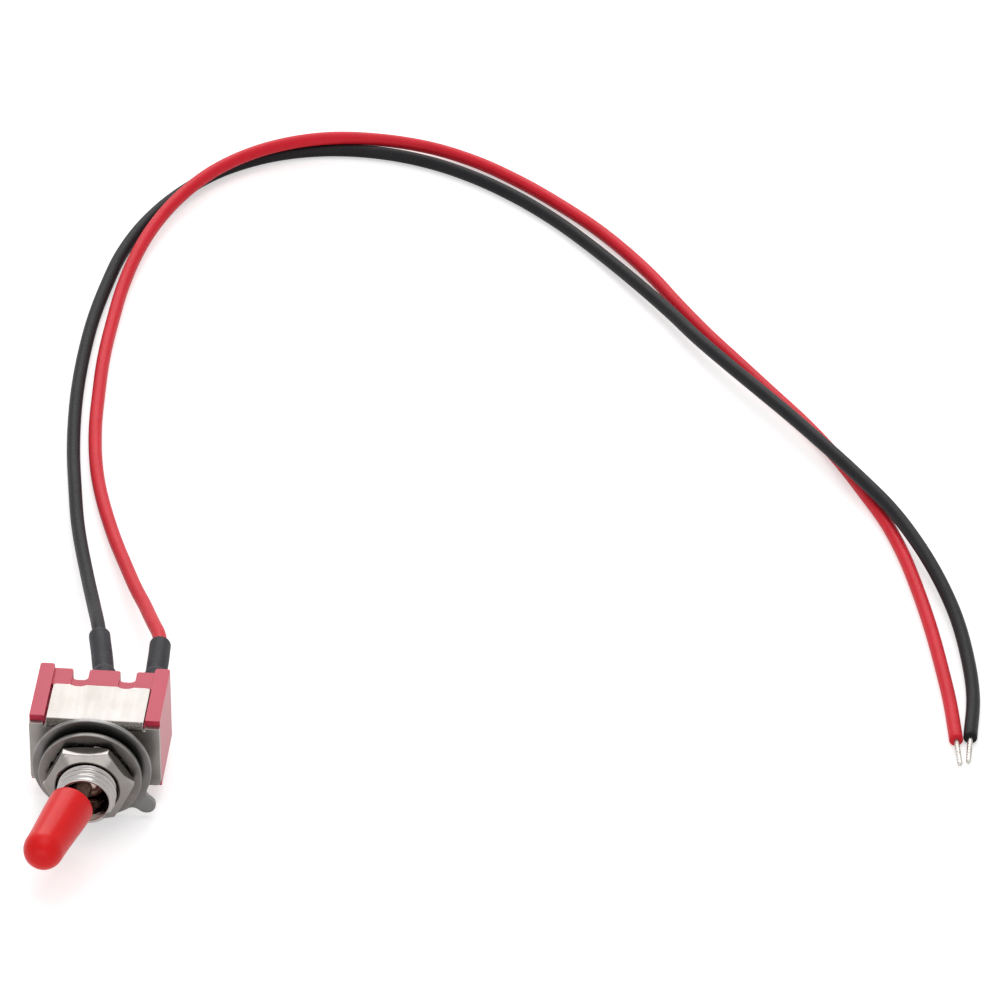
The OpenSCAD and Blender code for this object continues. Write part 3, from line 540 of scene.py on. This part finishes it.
def plated_metal(name, colour, dull, edge, painted_shade, roughness, blotch=350.0, squeeze=(1, 1, 1),
                 lines=0.25, edge_radius=0.12 * MM, reach=1.0 * MM, folds=False):
    """A plated metal: two tones in slow blotches, drawn lines in its polish, a painted highlight on its
    edges and a painted shade in its recesses. Where folds is true a painted shade, dark and speckled,
    lies along the sheet's two folds."""
    material, tree, shader, where = finish_of(name, roughness, metallic=1.0)
    blotches = placed(tree, MOTTLE, where, scale=blotch, low=0.36, high=0.66).outputs["Mask"]
    body = tinted(tree, blotches, colour, dull)
    grain = placed(tree, FINE_GRAIN, where, scale=METAL_GRAIN).outputs["Height"]
    # Painted shade: the bracket's folds are darkened to a speckled dark grey.
    if folds:
        body = tinted(tree, fold_painted_shade(tree, where), body, FOLD_PAINTED_SHADE)
    # Painted highlight: sharp edges are lightened towards the edges' colour.
    edges = placed(tree, WEAR_AND_HIGHLIGHT_EDGES, where, radius=edge_radius).outputs["Mask"]
    # Painted shade: corners and narrow gaps are darkened towards the recesses' colour.
    recess = placed(tree, RECESS_PAINTED_SHADE, where, distance=reach).outputs["Mask"]
    wear_and_highlight = tinted(tree, edges, body, edge)
    join(tree, tinted(tree, recess, wear_and_highlight, painted_shade), shader.inputs["Base Color"])
    drawn = placed(tree, DRAWN_LINES, where, squeeze=squeeze, scale=DRAWN_SCALE).outputs["Height"]
    polish = sums(tree, "ADD", drawn, sums(tree, "MULTIPLY", blotches, BLOTCHES_IN_POLISH))
    roughened(tree, shader, polish, 0.35, 0.9, roughness, METAL_POLISH)
    both = sums(tree, "ADD", sums(tree, "MULTIPLY", drawn, DRAWN_SHARE),
                sums(tree, "MULTIPLY", grain, GRAIN_SHARE))
    bumped(tree, shader, both, lines, METAL_RELIEF)
    return material


def moulded_plastic(name, colour, dark, pale, roughness, coat=0.0, grain=0.25, specular=0.5):
    """A moulded plastic: two close tones, pale edges that are part wear and part painted highlight, and a
    fine even grain.
    """
    material, tree, shader, where = finish_of(name, roughness, coat=coat, specular=specular)
    blotches = placed(tree, MOTTLE, where, scale=PLASTIC_BLOTCH, low=0.3, high=0.7).outputs["Mask"]
    body = tinted(tree, blotches, colour, dark)
    fine = placed(tree, FINE_GRAIN, where, scale=PLASTIC_GRAIN).outputs["Height"]
    # Pale edges: part wear and part painted highlight.
    edges = placed(tree, WEAR_AND_HIGHLIGHT_EDGES, where, radius=PLASTIC_EDGE_R).outputs["Mask"]
    wear_and_highlight = sums(tree, "MULTIPLY", edges, PLASTIC_EDGE_SHARE)
    join(tree, tinted(tree, wear_and_highlight, body, pale), shader.inputs["Base Color"])
    roughened(tree, shader, fine, 0.3, 0.7, roughness, PLASTIC_POLISH)
    bumped(tree, shader, fine, grain, PLASTIC_RELIEF)
    return material


def flexible_plastic(name, colour, dark, pale, roughness, specular, ripple=0.12, ripple_scale=500.0):
    """A soft skin of vinyl or rubber: slow ripples, two close tones and a little pale dust."""
    material, tree, shader, where = finish_of(name, roughness, specular=specular)
    blotches = placed(tree, MOTTLE, where, scale=SKIN_BLOTCH, low=0.32, high=0.68).outputs["Mask"]
    body = tinted(tree, blotches, colour, dark)
    fine = placed(tree, FINE_GRAIN, where, scale=SKIN_GRAIN)
    dust = sums(tree, "MULTIPLY", fine.outputs["Pits"], DUST)
    join(tree, tinted(tree, dust, body, pale), shader.inputs["Base Color"])
    slow = placed(tree, MOTTLE, where, scale=ripple_scale, low=0.0, high=1.0).outputs["Mask"]
    roughened(tree, shader, fine.outputs["Height"], 0.3, 0.7, roughness, SKIN_POLISH)
    grained = sums(tree, "ADD", slow, sums(tree, "MULTIPLY", fine.outputs["Height"], GRAIN_IN_RIPPLE))
    bumped(tree, shader, grained, ripple, SKIN_RELIEF)
    return material


# For each metal below, the colour given for its edges is a painted highlight, and the colour given for
# its recesses is a painted shade.
FRAME_STEEL = plated_metal(
    "frame_steel", colour=(0.36, 0.34, 0.325), dull=(0.345, 0.323, 0.30), edge=(0.72, 0.70, 0.67),
    painted_shade=(0.10, 0.09, 0.08), roughness=0.42, squeeze=(1, 0.08, 1), lines=0.2, folds=True)
BUSHING_NICKEL = plated_metal(
    "bushing_nickel", colour=(0.50, 0.48, 0.47), dull=(0.42, 0.40, 0.39), edge=(0.88, 0.87, 0.85),
    painted_shade=(0.30, 0.22, 0.18), roughness=0.16, lines=0.08, edge_radius=0.06 * MM, reach=0.5 * MM)
NUT_NICKEL = plated_metal(
    "nut_nickel", colour=(0.30, 0.28, 0.265), dull=(0.25, 0.232, 0.218), edge=(0.85, 0.84, 0.83),
    painted_shade=(0.06, 0.055, 0.05), roughness=0.12, squeeze=(1, 1, 0.1), lines=0.08)
RING_STEEL = plated_metal(
    "ring_steel", colour=(0.24, 0.235, 0.23), dull=(0.18, 0.175, 0.17), edge=(0.66, 0.66, 0.65),
    painted_shade=(0.03, 0.027, 0.025), roughness=0.34, squeeze=(1, 1, 0.15), lines=0.25, reach=1.6 * MM)
WASHER_STEEL = plated_metal(
    "washer_steel", colour=(0.25, 0.235, 0.225), dull=(0.19, 0.18, 0.17), edge=(0.66, 0.65, 0.64),
    painted_shade=(0.035, 0.03, 0.028), roughness=0.32, squeeze=(1, 1, 0.15), lines=0.25, reach=1.6 * MM)
LEVER_PLATE = plated_metal(
    "lever_plate", colour=(0.62, 0.50, 0.44), dull=(0.50, 0.40, 0.35), edge=(0.8, 0.72, 0.66),
    painted_shade=(0.36, 0.24, 0.19), roughness=0.22, reach=0.5 * MM)
PIN_STEEL = plated_metal(
    "pin_steel", colour=(0.55, 0.54, 0.52), dull=(0.42, 0.41, 0.40), edge=(0.80, 0.79, 0.77),
    painted_shade=(0.10, 0.09, 0.08), roughness=0.3)
CONTACT_BRASS = plated_metal(
    "contact_brass", colour=(0.70, 0.44, 0.20), dull=(0.52, 0.30, 0.13), edge=(0.86, 0.64, 0.36),
    painted_shade=(0.16, 0.09, 0.04), roughness=0.34)
CONTACT_SILVER = plated_metal(
    "contact_silver", colour=(0.78, 0.77, 0.74), dull=(0.56, 0.54, 0.50), edge=(0.92, 0.91, 0.89),
    painted_shade=(0.2, 0.19, 0.17), roughness=0.28)
TERMINAL_TIN = plated_metal(
    "terminal_tin", colour=(0.62, 0.58, 0.48), dull=(0.48, 0.43, 0.35), edge=(0.85, 0.82, 0.75),
    painted_shade=(0.10, 0.09, 0.07), roughness=0.36)
SOLDER_TIN = plated_metal(
    "solder_tin", colour=(0.62, 0.62, 0.61), dull=(0.48, 0.48, 0.48), edge=(0.85, 0.85, 0.85),
    painted_shade=(0.10, 0.10, 0.10), roughness=0.25)
TINNED_STRANDS = plated_metal(
    "tinned_strands", colour=(0.58, 0.56, 0.52), dull=(0.40, 0.37, 0.33), edge=(0.85, 0.83, 0.79),
    painted_shade=(0.12, 0.10, 0.08), roughness=0.28, blotch=900.0, edge_radius=0.03 * MM, reach=0.2 * MM)
HOUSING_RED = moulded_plastic(
    "housing_red", colour=(0.64, 0.036, 0.082), dark=(0.58, 0.031, 0.070), pale=(0.76, 0.17, 0.23),
    roughness=0.31, coat=0.2, grain=0.14, specular=0.2)
PLUNGER_WHITE = moulded_plastic(
    "plunger_white", colour=(0.80, 0.77, 0.68), dark=(0.72, 0.69, 0.60), pale=(0.88, 0.86, 0.80),
    roughness=0.4)
CAP_RED = flexible_plastic(
    "cap_red", colour=(0.90, 0.006, 0.008), dark=(0.82, 0.003, 0.005), pale=(0.90, 0.03, 0.035),
    roughness=0.3, specular=0.26, ripple=0.08)
SLEEVE_GREY = flexible_plastic(
    "sleeve_grey", colour=(0.034, 0.033, 0.040), dark=(0.026, 0.025, 0.031),
    pale=(0.07, 0.07, 0.08), roughness=0.5, specular=0.22, ripple=0.2, ripple_scale=700.0)
LEAD_BLACK = flexible_plastic(
    "lead_black", colour=(0.020, 0.019, 0.021), dark=(0.014, 0.013, 0.015),
    pale=(0.05, 0.05, 0.055), roughness=0.42, specular=0.13)
LEAD_RED = flexible_plastic(
    "lead_red", colour=(0.78, 0.018, 0.036), dark=(0.71, 0.013, 0.028), pale=(0.70, 0.06, 0.075),
    roughness=0.4, specular=0.2)


# ---------------------------------------------------------------- leads, tips and sleeves
def make_lead(name, route, material, stands_for):
    """A jacket of one radius about the route's smooth line, a little uneven along it: one hundredth of
    its radius times half of one more than the product of two waves. Its last tenth of a millimetre
    rounds in towards the cut end."""
    line = smooth_line(route, LINE_STEP)
    run = np.linspace(0, LEAD_LEN, len(line))
    wave = np.sin(run / JACKET_WAVE) * np.sin(run / JACKET_SLOW_WAVE)
    radii = LEAD_R * (1 - JACKET_UNEVENNESS * (1 + wave) / 2)
    ahead = frames(line)[0][-1]
    line = np.vstack([line[:-1], line[-1] - ahead * (CUT_END_PLACES[-1] - CUT_END_PLACES)[:, None]])
    radii = np.concatenate([radii[:-1], LEAD_R - CUT_END_ROUNDING])
    rings = carried(line, np.repeat(radii[:, None], JACKET_POINTS, axis=1))
    return grid_piece(name, rings, "switch_body", material, stands_for), line


def make_tip(name, route, stands_for):
    """The twisted strands: a ring's radius is the bundle's radius less a share of it times a wave with
    one crest for each strand, and each ring is turned on by one turn for each lay length. At the end
    it narrows as a circle does."""
    line = smooth_line(route, LINE_STEP)
    ahead = frames(line)[0][-1]
    s = np.linspace(-HIDDEN_LEN, BARE_LEN, 120)
    path = line[-1] + ahead * s[:, None]
    a = ring_angles(TIP_POINTS)
    phase = STRANDS * (a[None, :] - FULL_TURN * s[:, None] / LAY_LENGTH) / 2
    radii = STRAND_BUNDLE_R * (1 - STRAND_RELIEF + STRAND_RELIEF * np.abs(np.cos(phase)))
    taper = np.sqrt(1 - np.clip((s - (BARE_LEN - TIP_TAPER_LEN)) / TIP_TAPER_SPAN, 0, 1) ** 2)
    return grid_piece(name, carried(path, radii * taper[:, None]), "switch_body", TINNED_STRANDS,
                      stands_for)


def make_sleeve(name, foot, lean, length, stands_for):
    """A tube shrunk over a lug and its lead. Its outer radius goes smoothly from wide to narrow at the
    shoulder, with low folds in it: the fold's height is a wave round the tube times a bell over the
    shoulder. Over the lug it is a little flatter across the lug's thickness. The profile runs out
    along the tube, round the mouth and back along the bore."""
    mouth_turn = np.linspace(0.15, 1, 6) * np.pi / 2
    s = np.concatenate([np.linspace(0, 0.15, 4), np.linspace(0.3, length / MM - 0.45, 90),
                        length / MM - 0.3 * (1 - np.sin(mouth_turn))]) * MM
    a = ring_angles(SLEEVE_POINTS)
    wide = 1 - rise(s, SHOULDER_START, SHOULDER_END)
    radius = SLEEVE_NARROW_R + (SLEEVE_WIDE_R - SLEEVE_NARROW_R) * wide
    flat = 1 - LUG_FLATNESS * wide[:, None] * np.cos(a)[None, :] ** 2
    bell = np.exp(-((s - (SHOULDER_START + SHOULDER_END) / 2) / FOLD_SPREAD) ** 2)
    folds = -FOLD_DEPTH * bell[:, None] * (1 + np.cos(FOLD_COUNT * a + FOLD_PHASE))[None, :]
    slow = -RIPPLE_DEPTH * (1 + np.sin(s[:, None] / RIPPLE_WAVE + 2 * np.cos(a)[None, :]))
    past_mouth = np.clip((s - (length - SLEEVE_MOUTH_R)) / SLEEVE_MOUTH_R, 0, 1)
    mouth = SLEEVE_MOUTH_R * (1 - np.sqrt(1 - past_mouth ** 2))
    start = SLEEVE_START_DEPTH * np.clip(1 - s / SLEEVE_START_ROUND, 0, 1) ** 2
    outer = (radius - mouth - start)[:, None] * flat + folds + slow
    back = np.linspace(length / MM, 0, 12) * MM
    over_lug = 1 - rise(back, BORE_STEP_START, BORE_STEP_END)
    bore = SLEEVE_BORE_R + (SLEEVE_LUG_BORE_R - SLEEVE_BORE_R) * over_lug
    inner = np.repeat(bore[:, None], SLEEVE_POINTS, axis=1)
    # No part of the tube lies nearer to the housing than its start
    reach = np.maximum(np.concatenate([s, back]), SLEEVE_START)
    return grid_piece(name, turned(foot, lean, reach, np.vstack([outer, inner])), "switch_body",
                      SLEEVE_GREY, stands_for, closed=True)


SWITCHED_FOOT = LUG_FOOT + np.array([TERMINAL_PITCH, 0, 0])
black_jacket, black_line = make_lead("black_lead_jacket", BLACK_ROUTE, LEAD_BLACK, "black_lead")
red_jacket, red_line = make_lead("red_lead_jacket", RED_ROUTE, LEAD_RED, "red_lead")
black_strands = make_tip("black_tinned_strands", BLACK_ROUTE, "black_lead_tip")
red_strands = make_tip("red_tinned_strands", RED_ROUTE, "red_lead_tip")
make_sleeve("common_shrunk_sleeve", LUG_FOOT, COMMON_LEAN, COMMON_SLEEVE, "sleeve_common")
make_sleeve("switched_shrunk_sleeve", SWITCHED_FOOT, SWITCHED_LEAN, SWITCHED_SLEEVE, "sleeve_switched")


# ---------------------------------------------------------------- bushing, cap and spring
def make_threaded_bushing():
    """The bushing with its thread, keyway and bore, as one closed profile round its axis.

    The thread's radius at distance y and angle a falls from the crest by its depth times a ridge wave of
    y over the pitch plus a over one turn. It is no larger than the end's chamfer, and no larger than the
    keyway's floor over the cosine of the angle from the keyway's middle, inside the keyway. Behind the
    plate the radius is that of the ears: the smaller of their own radius and their half height over the
    sine of the angle. The profile comes back through the bore.
    """
    a = ring_angles(BUSHING_POINTS)
    y = np.concatenate([np.arange(0, BUSHING_LEN - 0.4 * MM, RING_STEP),
                        BUSHING_LEN - np.array([0.36, 0.3, 0.24, 0.18, 0.12, 0.07, 0.03, 0]) * MM])
    # A ring's angle starts at -X, and the keyway's turn is counted from +X
    from_key = (a + KEYWAY_TURN) % FULL_TURN - np.pi
    wave = (y[:, None] / PITCH + a[None, :] / FULL_TURN) % 1
    ridge = np.clip((np.abs(wave - 0.5) * 2 - GROOVE_FLOOR) / FLANK, 0, 1)
    fade = rise(y, 0, THREAD_RUN_IN)[:, None]
    thread = CREST_R - THREAD_DEPTH * (1 - ridge) * fade
    chamfer = CREST_R - FRONT_CHAMFER + (BUSHING_LEN - y)[:, None]
    outer = np.minimum(thread, chamfer)
    # The last ring rounds over the lip
    outer[-1] -= BROKEN_EDGE
    in_key = np.abs(from_key) < KEYWAY_HALF
    floor = KEYWAY_FLOOR_R / np.cos(from_key)
    outer = np.where(in_key[None, :], np.minimum(outer, floor[None, :]), outer)
    plate = np.full((2, BUSHING_POINTS), CREST_R)
    ear = np.minimum(EAR_R, EAR_HALF_H / np.maximum(np.abs(np.sin(a)), 1e-6))
    back_y = np.array([EAR_END, EAR_END, EAR_START, EAR_START - 0.01 * MM, 0.01 * MM]) * -1
    back = np.vstack([ear - BROKEN_EDGE, ear, ear, plate])
    # The first corner of the bore is the lip, which the outer profile already has
    bore = bend_points(BORE_PROFILE, BORE_CORNER)[1:] * MM
    reach = np.concatenate([back_y, y, bore[:, 0]])
    radius = np.vstack([back, outer, np.repeat(bore[:, 1:2], BUSHING_POINTS, axis=1)])
    rings = turned(np.zeros(3), np.pi, reach, radius)
    return grid_piece("threaded_bushing", rings, "switch_body", BUSHING_NICKEL, "bushing",
                      closed=True)


def make_soft_cap():
    """The dipped cap: a cone from the base radius to the tip radius with a round end, a rolled lip at
    its open end and a blind bore. Its wall is uneven by about a hundredth: a slow wave that runs along
    it and round it."""
    cone_end = CAP_END - CAP_TIP_R
    t = np.linspace(CAP_START + CAP_LIP_R, cone_end, 48)
    cone = CAP_BASE_R + (CAP_TIP_R - CAP_BASE_R) * rise(t, CAP_START, cone_end)
    lip_turn = np.linspace(-np.pi / 2, 0, 7)[:-1]
    lip_reach = CAP_START + CAP_LIP_R + CAP_LIP_R * np.sin(lip_turn)
    lip = CAP_BASE_R - CAP_LIP_R + CAP_LIP_R * np.cos(lip_turn)
    # The dome's last ring is a small one about the very tip
    dome_turn = np.linspace(0, np.pi / 2, 20)[1:-1]
    dome_reach = np.append(cone_end + CAP_TIP_R * np.sin(dome_turn), CAP_END)
    dome = np.append(CAP_TIP_R * np.cos(dome_turn) ** DOME_FULLNESS, 0.02 * MM)
    reach = np.concatenate([CAP_BORE_REACH, lip_reach, t, dome_reach])
    radius = np.concatenate([CAP_BORE_R, lip, cone, dome])
    a = ring_angles(CAP_POINTS)
    outside = rise(reach, CAP_START, CAP_START + 0.5 * MM) * (radius > 1.6 * MM)
    wave = np.sin(reach[:, None] / CAP_WAVE + 2 * a[None, :])
    slow = 1 - CAP_UNEVENNESS * outside[:, None] * (1 + wave)
    rings = turned(PIVOT, np.pi - LEVER_TILT, reach, radius[:, None] * slow)
    return grid_piece("soft_lever_cap", rings, "lever", CAP_RED, "lever_cap")


def make_spring():
    """A wire carried along a helix about the lever's axis: the angle is a turn for each coil."""
    turn = np.linspace(0, FULL_TURN * SPRING_COILS, SPRING_COILS * 32 + 1)
    along = -np.linspace(SPRING_NEAR, SPRING_FAR, len(turn))
    axis = np.array([-math.sin(np.pi - LEVER_TILT), math.cos(np.pi - LEVER_TILT), 0])
    side = np.array([axis[1], -axis[0], 0])
    out = np.cos(turn)[:, None] * side + np.sin(turn)[:, None] * np.array([0, 0, 1])
    line = PIVOT + along[:, None] * axis + SPRING_R * out
    b = ring_angles(WIRE_POINTS)
    offset = np.cos(b)[None, :, None] * out[:, None] + np.sin(b)[None, :, None] * axis
    return grid_piece("coiled_spring", line[:, None] + WIRE_R * offset, "lever", PIN_STEEL,
                      "plunger_spring")


make_threaded_bushing()
make_soft_cap()
make_spring()


# ---------------------------------------------------------------- CAD solids that keep their shape
def dress(node, material, bevel):
    """Gives a CAD solid its finish, and rolls its sharp edges over. The weld and the joining of flat
    faces come first, so that only real edges are rolled."""
    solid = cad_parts[node]
    solid.data.materials.clear()
    solid.data.materials.append(material)
    weld = solid.modifiers.new("weld", "WELD")
    weld.merge_threshold = WELD_DISTANCE
    flat = solid.modifiers.new("flat", "DECIMATE")
    flat.decimate_type = "DISSOLVE"
    flat.angle_limit = FLAT_ANGLE
    roll = solid.modifiers.new("roll", "BEVEL")
    roll.width, roll.segments, roll.limit_method = bevel, ROLL_SEGMENTS, "ANGLE"
    roll.angle_limit = SHARP_ANGLE
    roll.harden_normals = True
    roll.use_clamp_overlap = True


# Each solid, its finish and the width of its rolled edges in mm.
DRESSING = [
    ("frame_bracket", FRAME_STEEL, 0.05), ("housing", HOUSING_RED, 0.06),
    ("pivot_pin", PIN_STEEL, 0.05), ("lever", LEVER_PLATE, 0.03),
    ("plunger", PLUNGER_WHITE, 0.03), ("rocker_contact", CONTACT_BRASS, 0.03),
    ("moving_contact", CONTACT_SILVER, 0.02), ("fixed_contact", CONTACT_SILVER, 0.02),
    ("common_terminal", TERMINAL_TIN, 0.04), ("switched_terminal", TERMINAL_TIN, 0.04),
    ("keyed_ring", RING_STEEL, 0.06), ("lock_washer", WASHER_STEEL, 0.06),
    ("hex_nut", NUT_NICKEL, 0.05), ("solder_common", SOLDER_TIN, 0.04),
    ("solder_switched", SOLDER_TIN, 0.04)]
for node, material, bevel in DRESSING:
    dress(node, material, bevel * MM)


# ---------------------------------------------------------------- floor, lights and surroundings
def make_floor():
    """A pale floor that shows the shadow, and is white where nothing shades it."""
    corners = [(x * FLOOR_REACH, y * FLOOR_REACH, FLOOR_Z)
               for x, y in ((-1, -1), (1, -1), (1, 1), (-1, 1))]
    mesh = bpy.data.meshes.new("floor")
    mesh.from_pydata(corners, [], [(0, 1, 2, 3)])
    floor = bpy.data.objects.new("floor", mesh)
    bpy.context.scene.collection.objects.link(floor)
    material = bpy.data.materials.new("floor_paper")
    material.use_nodes = True
    tree = material.node_tree
    shader = tree.nodes["Principled BSDF"]
    shader.inputs["Base Color"].default_value = FLOOR_TONE
    shader.inputs["Roughness"].default_value = FLOOR_ROUGHNESS
    shader.inputs["Specular IOR Level"].default_value = 0.0
    path = tree.nodes.new("ShaderNodeLightPath")
    glow = tree.nodes.new("ShaderNodeEmission")
    glow.inputs["Color"].default_value = (1, 1, 1, 1)
    seen = sums(tree, "MULTIPLY", path.outputs["Is Camera Ray"], FLOOR_GLOW)
    mirrored = sums(tree, "MULTIPLY", path.outputs["Is Glossy Ray"], FLOOR_GLOW_IN_REFLECTIONS)
    join(tree, sums(tree, "ADD", seen, mirrored), glow.inputs["Strength"])
    both = tree.nodes.new("ShaderNodeAddShader")
    join(tree, shader.outputs[0], both.inputs[0])
    join(tree, glow.outputs[0], both.inputs[1])
    join(tree, both.outputs[0], tree.nodes["Material Output"].inputs["Surface"])
    mesh.materials.append(material)


def make_world():
    """White to the camera and in reflections, and a soft grey as a light."""
    world = bpy.data.worlds.new("studio")
    bpy.context.scene.world = world
    world.use_nodes = True
    tree = world.node_tree
    back = tree.nodes["Background"]
    back.inputs["Color"].default_value = (1, 1, 1, 1)
    path = tree.nodes.new("ShaderNodeLightPath")
    direct = sums(tree, "MAXIMUM", path.outputs["Is Camera Ray"], path.outputs["Is Glossy Ray"])
    seen = sums(tree, "MAXIMUM", direct, path.outputs["Is Transmission Ray"])
    join(tree, between(tree, seen, 0, 1, WORLD_LIGHT, 1.0), back.inputs["Strength"])


def make_lamp(name, place, target, width, height, power):
    """A rectangular softbox that faces its target."""
    data = bpy.data.lights.new(name, "AREA")
    data.shape, data.size, data.size_y, data.energy = "RECTANGLE", width, height, power
    lamp = bpy.data.objects.new(name, data)
    bpy.context.scene.collection.objects.link(lamp)
    lamp.location = place
    lamp.rotation_euler = (Vector(target) - Vector(place)).to_track_quat("-Z", "Y").to_euler()


make_world()
make_floor()
for lamp in LAMPS:
    make_lamp(*lamp)

bpy.context.scene.view_settings.view_transform = "Standard"
